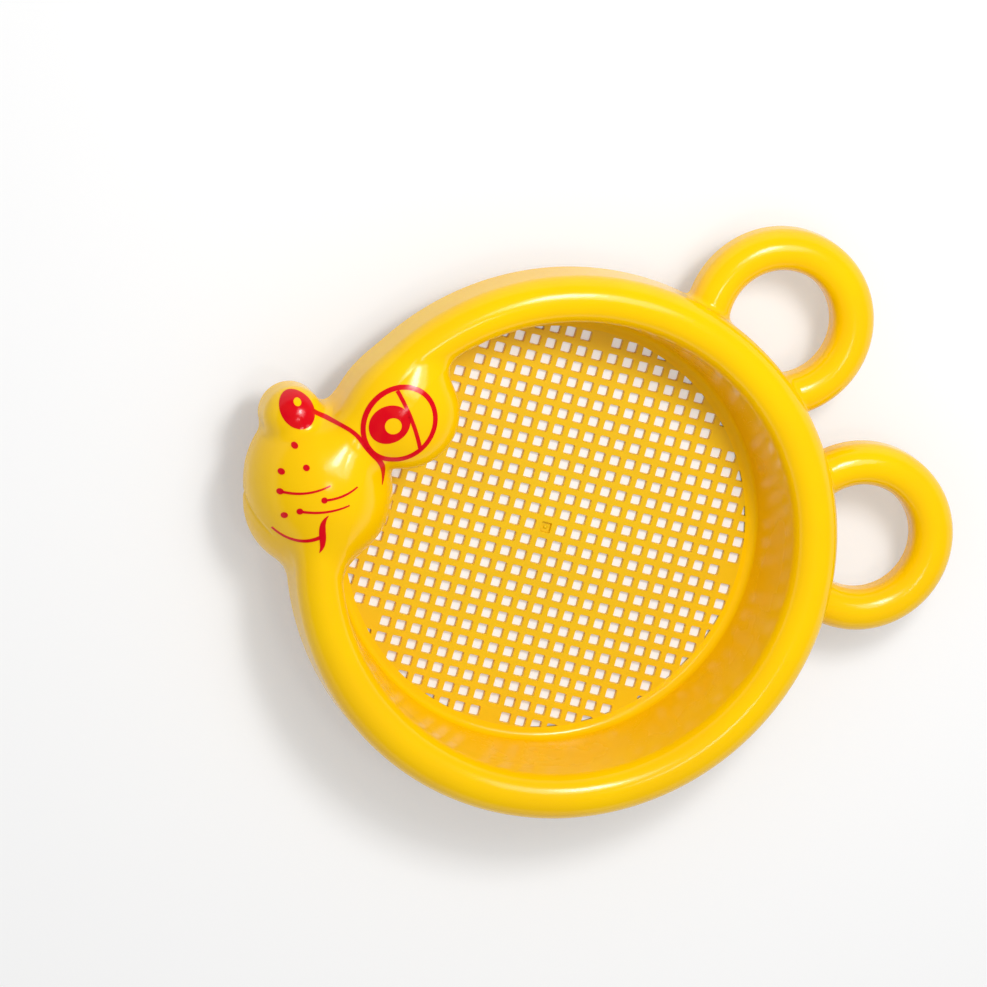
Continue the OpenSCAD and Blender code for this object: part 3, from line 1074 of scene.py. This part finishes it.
@dataclass
class SieveFloor:
    """The perforated floor: square holes, unpierced pads, and a thin web with a nub in the middle hole."""

    shell: Shell
    pitch: float = 6 * MM
    hole_w: float = 3.65 * MM
    hole_corner: float = 0.35 * MM
    hole_taper: tuple[float, float] = (-0.04 * MM, 0.02 * MM)
    mouth: float = 0.28 * MM
    flare: float = 0.084 * MM
    below: float = 1 * MM
    above: float = 0.4 * MM
    pad_r_share: float = 0.963
    pad_turns: tuple[float, float] = (0.0, math.radians(41.6))
    pads_per_turn: int = 4
    web_t: float = 0.8 * MM
    web_lap: float = 0.2 * MM
    nub_d: float = 1.6 * MM
    nub_flat: float = 0.7
    nub_sides: int = 20
    nub_rings: int = 10
    sink: float = 0.3 * MM
    outline_step: int = 3

    def plate(self) -> bpy.types.Object:
        """Unpierced plate, cut to the foot of the face.

        Returns:
            A closed prism over the floor's outline.
        """
        shell, bowl = self.shell, self.shell.form.bowl
        reach = shell.flank_r(shell.face_turns, 0.0, bowl.floor_top, bowl.wall_end[0]) + self.sink
        plain, face = shell.plain_turns[:-1], slice(0, -1, self.outline_step)
        turns = np.concatenate([plain, shell.face_turns[face]])
        r = np.concatenate([np.full(len(plain), bowl.mesh_r), np.minimum(reach, bowl.mesh_r)[face]])
        return stack("sieve_floor", [around(turns, r, z) for z in (0.0, bowl.wall_t)])

    def cutter(self) -> bpy.types.Object:
        """Drafted square cutter with cut corners and a flared mouth.

        Returns:
            A closed eight-sided plug that stands for one hole.
        """
        top = self.shell.form.bowl.wall_t
        heights = (-self.below, top - self.mouth, top - self.flare, top + self.above)
        grown = (*self.hole_taper, self.flare, self.flare + self.above)
        quarter = np.array([[0, 1], [-1, 0]])
        rings = []
        for z, grow in zip(heights, grown):
            half = self.hole_w / 2 + grow
            side = np.array([[half, self.hole_corner - half], [half, half - self.hole_corner]])
            plan = np.concatenate([side @ np.linalg.matrix_power(quarter, turn) for turn in range(4)])
            rings.append(lift(plan, z))
        return stack("hole_cutter", rings)

    def holes(self, tree: GeometryTree, cutter: bpy.types.Object) -> Link:
        """Cutters on the grid, apart from the places of the pads and those past the floor's edge.

        Args:
            tree: the tree that pierces the floor.
            cutter: the shape of one hole.

        Returns:
            All cutters as one mesh.
        """
        bowl = self.shell.form.bowl
        pitch = tree.size("Pitch", self.pitch)
        hole_reach = tree.size("Hole reach", bowl.mesh_r + self.hole_w / 2)
        pad_r = tree.size("Pad circle radius", bowl.mesh_r * self.pad_r_share)
        cells = 2 * math.floor(bowl.mesh_r / self.pitch) + 1
        span = pitch * (cells - 1)
        grid = tree.node("GeometryNodeMeshGrid", None, {
            "Size X": span, "Size Y": span, "Vertices X": cells, "Vertices Y": cells,
        })
        circle = tree.node("GeometryNodeMeshCircle", None, {"Vertices": self.pads_per_turn, "Radius": pad_r})
        pads = tree.join(*[tree.move(circle, Rotation=(0, 0, turn)) for turn in self.pad_turns])
        place = tree.node("GeometryNodeInputPosition")
        near = tree.node("GeometryNodeProximity", {"target_element": "POINTS"}, {0: pads}, out="Position")
        off = tree.vector("ABSOLUTE", tree.vector("SUBTRACT", place, near))
        off_x = tree.node("ShaderNodeSeparateXYZ", None, (off,))
        pierced = off_x.maths("MAXIMUM", off_x.beside("Y")).maths("GREATER_THAN", pitch * 0.5)
        inside = tree.vector("LENGTH", place, out="Value").maths("LESS_THAN", hole_reach)
        holes = tree.node("GeometryNodeInstanceOnPoints", None, {
            "Points": grid, "Selection": pierced * inside, "Instance": tree.shape("Hole cutter", cutter),
        })
        return tree.node("GeometryNodeRealizeInstances", None, {"Geometry": holes})

    def web(self, tree: GeometryTree) -> Link:
        """The thin web in the middle hole, with the nub on it."""
        nub_r = tree.size("Nub radius", self.nub_d / 2)
        web_t = tree.size("Web thickness", self.web_t)
        width = self.hole_w + 2 * self.web_lap
        web = tree.node("GeometryNodeMeshCube", None, {"Size": (width, width, self.web_t)})
        web = tree.move(web, Translation=tree.node("ShaderNodeCombineXYZ", None, {"Z": web_t * 0.5}))
        nub = tree.node("GeometryNodeMeshUVSphere", None, {
            "Segments": self.nub_sides, "Rings": self.nub_rings, "Radius": nub_r,
        })
        rise = tree.node("ShaderNodeCombineXYZ", None, {"Z": web_t})
        nub = tree.move(nub, Translation=rise, Scale=(1, 1, self.nub_flat))
        return tree.join(web, tree.node("GeometryNodeSetShadeSmooth", None, {"Geometry": nub}))

    def build(self, plastic: bpy.types.Material) -> None:
        """Pierce and dress the floor."""
        piece, cutter = self.plate(), self.cutter()
        tree = GeometryTree("pierced_floor")
        cut = {"Mesh 1": tree.given(), "Mesh 2": self.holes(tree, cutter)}
        how = {"operation": "DIFFERENCE", "solver": "MANIFOLD"}
        pierced = tree.node("GeometryNodeMeshBoolean", how, cut, out="Mesh")
        pierced = tree.node("GeometryNodeTriangulate", {"ngon_method": "CLIP"}, (pierced,))
        tree.apply(piece, tree.join(pierced, self.web(tree)), plastic)
        bpy.data.objects.remove(cutter)
        place_piece(piece, plastic, ["sieve_mesh"])


def grid_patch(grid: Array, closed: bool) -> Patch:
    """Turn a grid of plan points into a flat patch.

    Args:
        grid: points by row and column.
        closed: whether the last row joins the first.

    Returns:
        The points in one list, and quads over them.
    """
    rows, size = grid.shape[:2]
    index = np.arange(rows * size).reshape(rows, size)
    first = index if closed else index[:-1]
    second = np.roll(index, -1, axis=0) if closed else index[1:]
    quads = np.stack([first[:, :-1], second[:, :-1], second[:, 1:], first[:, 1:]], axis=-1).reshape(-1, 4)
    return grid.reshape(-1, 2), quads


@dataclass(frozen=True)
class Stroke:
    """A brush stroke along a curve through handles, with widths that change along it, in millimetres."""

    handles: tuple[tuple[float, float], ...]
    widths: tuple[float, ...]
    steps: int = 28
    across: int = 7

    def patch(self) -> Patch:
        """Flat grid of the stroke.

        Returns:
            Plan points by place along and across, and quads over them.
        """
        t = np.linspace(0, 1, self.steps)
        path = self.curve(np.array(self.handles), t)
        half = self.curve(np.array(self.widths)[:, None], t) / 2
        along = unit(np.gradient(path, axis=0))
        side = np.stack([-along[:, 1], along[:, 0]], axis=-1) * half
        shares = np.linspace(-1, 1, self.across)
        return grid_patch(np.stack([path + side * share for share in shares], axis=1), False)

    @staticmethod
    def curve(handles: Array, t: Array) -> Array:
        """Smooth curve from the first to the last of the handles."""
        rows = np.repeat(handles[:, None], len(t), axis=1)
        while len(rows) > 1:
            rows = rows[:-1] * (1 - t)[:, None] + rows[1:] * t[:, None]
        return rows[0]


@dataclass(frozen=True)
class Oval:
    """Outline of an oval in millimetres, with its long axis at a turn in degrees."""

    x: float
    y: float
    long_r: float
    short_r: float
    turn: float = 0.0

    def grown(self, out: float) -> "Oval":
        """The oval with both radii grown."""
        return Oval(self.x, self.y, self.long_r + out, self.short_r + out, self.turn)

    def outline(self, angle: Array) -> Array:
        """Plan points at angles from the long axis."""
        along = polar(self.long_r, math.radians(self.turn))
        aside = polar(self.short_r, math.radians(self.turn + 90))
        return np.outer(np.cos(angle), along) + np.outer(np.sin(angle), aside) + [self.x, self.y]


def band(inner: Oval, outer: Oval, steps: int = 96, across: int = 14) -> Patch:
    """Flat band between two ovals.

    Args:
        inner: inner outline.
        outer: outer outline, at the same turn.
        steps: points round the band.
        across: points across it.

    Returns:
        Plan points and quads.
    """
    angle = np.linspace(0, FULL_TURN, steps, endpoint=False)
    share = np.linspace(0, 1, across)[None, :, None]
    inside, outside = inner.outline(angle)[:, None], outer.outline(angle)[:, None]
    return grid_patch(inside * (1 - share) + outside * share, True)


@dataclass
class Artwork:
    """The red print of a plain animal's face, pressed on face and nose. Its marks are in millimetres."""

    moulding: tuple[bpy.types.Object, bpy.types.Object]
    film: float = 0.12 * MM
    sunk: float = 0.1 * MM
    drop_z: float = 80 * MM
    weld: float = 0.001 * MM
    smooth_to: float = math.radians(35)
    nose: Oval = Oval(-111.6, 24.8, 7.0, 5.9, 145.5)
    nose_glint: Oval = Oval(-112.4, 27.65, 1.4, 1.4, 145.5)
    eye: Oval = Oval(-76.4, 30.4, 14.0, 12.4, 70.5)
    eye_line_w: float = 1.8
    iris: Oval = Oval(-80.0, 29.4, 7.7, 6.7, 55.0)
    iris_glint: Oval = Oval(-78.7, 29.3, 3.0, 3.0, 55.0)
    eyelid: Stroke = Stroke(((-80.7, 41.9), (-72.6, 33.7), (-66.6, 23.9)), (1.5, 1.4, 1.5), 40)
    muzzle_line: tuple[Stroke, ...] = (
        Stroke(((-106.1, 26.1), (-100.1, 23.6), (-93.0, 25.5), (-87.7, 20.8)), (1.5, 1.5, 1.5, 1.6), 40),
        Stroke(((-87.7, 20.8), (-85.4, 18.8), (-82.8, 17.2), (-80.6, 16.2)), (1.6, 1.6, 1.7, 1.8), 16),
        Stroke(((-80.6, 16.2), (-74.3, 13.2), (-74.4, 6.5)), (1.8, 2.6, 0.3), 24),
    )
    freckles: tuple[tuple[float, float], ...] = (
        (-109.9, 12.8), (-112.1, 2.6), (-104.7, 6.7), (-106.6, -12.4),
    )
    dot_r: float = 1.15
    dot_pole_r: float = 0.046
    whiskers: tuple[Stroke, ...] = (
        Stroke(((-110.6, -4.4), (-101.7, -3.2), (-95.0, 3.0)), (1.0, 0.9, 0.6)),
        Stroke(((-95.6, -2.7), (-89.2, -0.5), (-85.0, 4.8)), (0.9, 0.9, 0.6)),
        Stroke(((-102.4, -9.2), (-93.4, -7.8), (-86.1, -2.3)), (1.0, 0.9, 0.6)),
    )
    mouth: tuple[Stroke, ...] = (
        Stroke(((-108.2, -18.7), (-99.5, -23.2), (-92.4, -16.5)), (0.6, 1.0, 1.5), 40),
        Stroke(
            ((-92.4, -7.8), (-95.4, -12.9), (-89.3, -17.2), (-90.8, -22.2)), (0.2, 2.6, 2.8, 2.9, 0.2), 40),
    )

    def dot(self, at: tuple[float, float]) -> Patch:
        """Filled round dot."""
        pole, edge = (Oval(*at, r, r) for r in (self.dot_pole_r, self.dot_r))
        return band(pole, edge, steps=28, across=4)

    def pressed(self, tree: GeometryTree) -> Link:
        """Lay flat patches on the moulding and give them their thickness.

        Args:
            tree: the tree that is handed the patches.

        Returns:
            The closed film of ink.
        """
        film, sunk = tree.size("Film", self.film), tree.size("Sunk", self.sunk)
        target = tree.join(*[tree.shape(name, each) for name, each in zip(("Face", "Nose"), self.moulding)])
        hit = tree.node("GeometryNodeRaycast", None, {
            "Target Geometry": target, "Ray Direction": (0, 0, -1), "Ray Length": self.drop_z,
        }, out="Hit Position")
        rise = hit.beside("Hit Normal")
        vectors = {"data_type": "FLOAT_VECTOR"}
        stored = tree.node("GeometryNodeStoreNamedAttribute", vectors, {
            "Geometry": tree.given(), "Name": "rise", "Value": rise,
        })
        under = tree.node("GeometryNodeSetPosition", None, {
            "Geometry": stored, "Position": tree.vector("MULTIPLY_ADD", rise, 0 - sunk, hit),
        })
        up = tree.node("GeometryNodeInputNamedAttribute", vectors, {"Name": "rise"})
        raised = tree.node("GeometryNodeExtrudeMesh", None, {
            "Mesh": under, "Offset": up, "Offset Scale": film + sunk, "Individual": False,
        })
        closed = tree.join(raised, tree.node("GeometryNodeFlipFaces", None, (under,)))
        merged = tree.node("GeometryNodeMergeByDistance", None, {"Geometry": closed, "Distance": self.weld})
        smooth = tree.node("GeometryNodeInputMeshEdgeAngle").maths("LESS_THAN", self.smooth_to)
        edged = tree.node("GeometryNodeSetShadeSmooth", {"domain": "EDGE"}, {
            "Geometry": merged, "Shade Smooth": smooth,
        })
        return tree.node("GeometryNodeSetShadeSmooth", None, {"Geometry": edged})

    def press(self, name: str, node: str, patches: Sequence[Patch], ink: bpy.types.Material) -> None:
        """Press flat patches on the moulding as one piece of ink.

        Args:
            name: the piece's name.
            node: the CAD node it stands for.
            patches: plan points in millimetres and quads.
            ink: the finish.
        """
        faces, count = [], 0
        for plan, quads in patches:
            corner = plan[quads]
            spin = np.cross(corner[:, 2] - corner[:, 0], corner[:, 3] - corner[:, 1]).sum()
            faces += ((quads if spin > 0 else quads[:, ::-1]) + count).tolist()
            count += len(plan)
        points = lift(np.concatenate([plan for plan, _ in patches]) * MM, self.drop_z)
        piece = mesh_object(name, points, faces)
        tree = GeometryTree("press_" + name)
        tree.apply(piece, self.pressed(tree), ink)
        place_piece(piece, ink, [node])

    def build(self, ink: bpy.types.Material) -> None:
        """Press every mark."""
        half = self.eye_line_w / 2
        ring = band(self.eye.grown(-half), self.eye.grown(half), steps=140, across=8)
        heads = [self.dot(stroke.handles[0]) for stroke in self.whiskers]
        marks = (
            ("nose_tip_print", "nose_print", [band(self.nose_glint, self.nose)]),
            ("muzzle_line", "muzzle_line_print", [stroke.patch() for stroke in self.muzzle_line]),
            ("eye_ring", "eye_ring_print", [ring]),
            ("eyelid_line", "eyelid_print", [self.eyelid.patch()]),
            ("iris", "iris_print", [band(self.iris_glint, self.iris)]),
            ("freckles", "freckle_prints", [self.dot(at) for at in self.freckles]),
            ("whiskers", "whisker_prints", [stroke.patch() for stroke in self.whiskers] + heads),
            ("mouth", "mouth_print", [stroke.patch() for stroke in self.mouth]),
        )
        for name, node, patches in marks:
            self.press(name, node, patches, ink)


def heading(azimuth: float, elevation: float) -> Vector:
    """Unit vector towards an azimuth and elevation in degrees."""
    az, el = math.radians(azimuth), math.radians(elevation)
    return Vector((math.cos(el) * math.cos(az), math.cos(el) * math.sin(az), math.sin(el)))


@dataclass(frozen=True)
class Lamp:
    """A soft rectangular lamp that faces the object, in degrees, metres and watts."""

    name: str
    azimuth: float
    elevation: float
    far: float
    size: tuple[float, float]
    power: float

    def build(self) -> None:
        """Add the lamp."""
        data = bpy.data.lights.new(self.name, "AREA")
        data.shape, data.energy = "RECTANGLE", self.power
        data.size, data.size_y = self.size
        made = bpy.data.objects.new(self.name, data)
        toward = heading(self.azimuth, self.elevation)
        made.location = toward * self.far
        made.rotation_euler = toward.to_track_quat("Z", "Y").to_euler()
        bpy.context.scene.collection.objects.link(made)


@dataclass
class Studio:
    """Pale floor, soft lamps, white surround and the camera."""

    aim: tuple[float, float, float] = (-20.74 * MM, 6.33 * MM, -4.88 * MM)
    azimuth: float = 151.43
    elevation: float = 72.05
    roll: float = 133.97
    distance: float = 3.645
    clip: float = 20.0
    focal_px: float = 10000.0
    photo_side: int = 987
    sensor: float = 36.0
    floor_half: float = 3.0
    floor_tone: float = 0.9
    floor_glow: float = 0.3
    ambient: float = 0.56
    ceiling_dim: float = 0.9
    ceiling_from: tuple[float, float] = (0.08, 0.4)
    lamps: tuple[Lamp, ...] = (
        Lamp("key_glow", 78, 62, 0.85, (0.4, 0.34), 2.0),
        Lamp("key_core", 86, 60, 0.84, (0.14, 0.18), 2.3),
        Lamp("top", 30, 87, 1.1, (0.1, 0.16), 0.6),
    )

    def build(self, floor_z: float) -> None:
        """Set up floor, light and camera, with the floor at the given level."""
        self.floor(floor_z)
        self.world()
        for lamp in self.lamps:
            lamp.build()
        self.camera()
        bpy.context.scene.view_settings.view_transform = "Standard"

    @staticmethod
    def seen(graph: Graph) -> Link:
        """1 for rays that see a place, straight or mirrored, and 0 for those that gather its light."""
        path = graph.node("ShaderNodeLightPath", out="Is Camera Ray")
        seen = path.maths("MAXIMUM", path.beside("Is Glossy Ray"))
        return seen.maths("MAXIMUM", path.beside("Is Transmission Ray"))

    def floor(self, floor_z: float) -> None:
        """Add the pale floor, which keeps the object's shadow."""
        plan = self.floor_half * np.array([(-1, -1), (1, -1), (1, 1), (-1, 1)])
        made = mesh_object("studio_floor", lift(plan, floor_z), [(0, 1, 2, 3)])
        material = bpy.data.materials.new("pale_floor")
        graph = empty_graph(material)
        paint = graph.node("ShaderNodeBsdfDiffuse", None, {"Color": (*[self.floor_tone] * 3, 1)})
        white = graph.node("ShaderNodeEmission", None, {"Color": (1, 1, 1, 1), "Strength": 1.0})
        surface = graph.node("ShaderNodeMixShader", None, (self.seen(graph) * self.floor_glow, paint, white))
        graph.node("ShaderNodeOutputMaterial", None, {"Surface": surface})
        made.data.materials.append(material)
        made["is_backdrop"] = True

    def world(self) -> None:
        """Surround the object with even light, white walls and a dim ceiling."""
        world = bpy.data.worlds.new("white_surround")
        bpy.context.scene.world = world
        graph = empty_graph(world)
        toward = graph.node("ShaderNodeTexCoord", out="Generated")
        rise = graph.node("ShaderNodeSeparateXYZ", None, (toward,), out="Z")
        wall = 1 - rise.between(*self.ceiling_from) * self.ceiling_dim
        strength = self.ambient + self.seen(graph) * (wall - self.ambient)
        light = graph.node("ShaderNodeBackground", None, {"Color": (1, 1, 1, 1), "Strength": strength})
        graph.node("ShaderNodeOutputWorld", None, {"Surface": light})

    def camera(self) -> None:
        """Add the camera at the photograph's angle."""
        data = bpy.data.cameras.new("camera")
        data.sensor_fit, data.sensor_width = "HORIZONTAL", self.sensor
        data.lens = self.focal_px * self.sensor / self.photo_side
        data.clip_end = self.clip
        made = bpy.data.objects.new("camera", data)
        back = heading(self.azimuth, self.elevation)
        side = Vector((0, 0, 1)).cross(back).normalized()
        turn = math.radians(self.roll)
        right = side * math.cos(turn) + back.cross(side) * math.sin(turn)
        pose = Matrix((right, back.cross(right), back)).transposed().to_4x4()
        made.matrix_world = Matrix.Translation(Vector(self.aim) + back * self.distance) @ pose
        bpy.context.scene.collection.objects.link(made)
        bpy.context.scene.camera = made


def corners(box: Sequence[Sequence[float]]) -> list[list[float]]:
    """A box as plain lists of numbers."""
    return [[float(value) for value in corner] for corner in box]


def main() -> None:
    """Build the sieve, its print and the studio."""
    logging.basicConfig(level=logging.INFO, format="%(name)s: %(message)s")
    cad_box = corners(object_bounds())
    polished = PlasticFinish("yellow_polished_plastic").material()
    drawn = PlasticFinish("yellow_drawn_plastic", texture=Texture.DRAWN).material()
    # The floor's plastic is a darker copy of the same yellow: painted shade for the floor deep inside the
    # bowl.
    ground = PlasticFinish(
        "yellow_ground_plastic", base=colour(234, 190, 0), deep=colour(228, 181, 0), texture=Texture.GROUND,
    ).material()
    ink = InkFinish().material()
    bowl = Bowl()
    form = Form(bowl)
    shell = Shell(form)
    RimAndWall(shell).build(polished, drawn)
    FloorRing(shell).build(polished)
    SieveFloor(shell).build(ground)
    for place in EarPlace:
        Ear(place, bowl).build(polished)
    face = Face(shell).build(polished)
    nose = Nose(form).build(polished)
    Artwork((face, nose)).build(ink)
    Studio().build(cad_box[0][2])


if __name__ == "__main__":
    main()
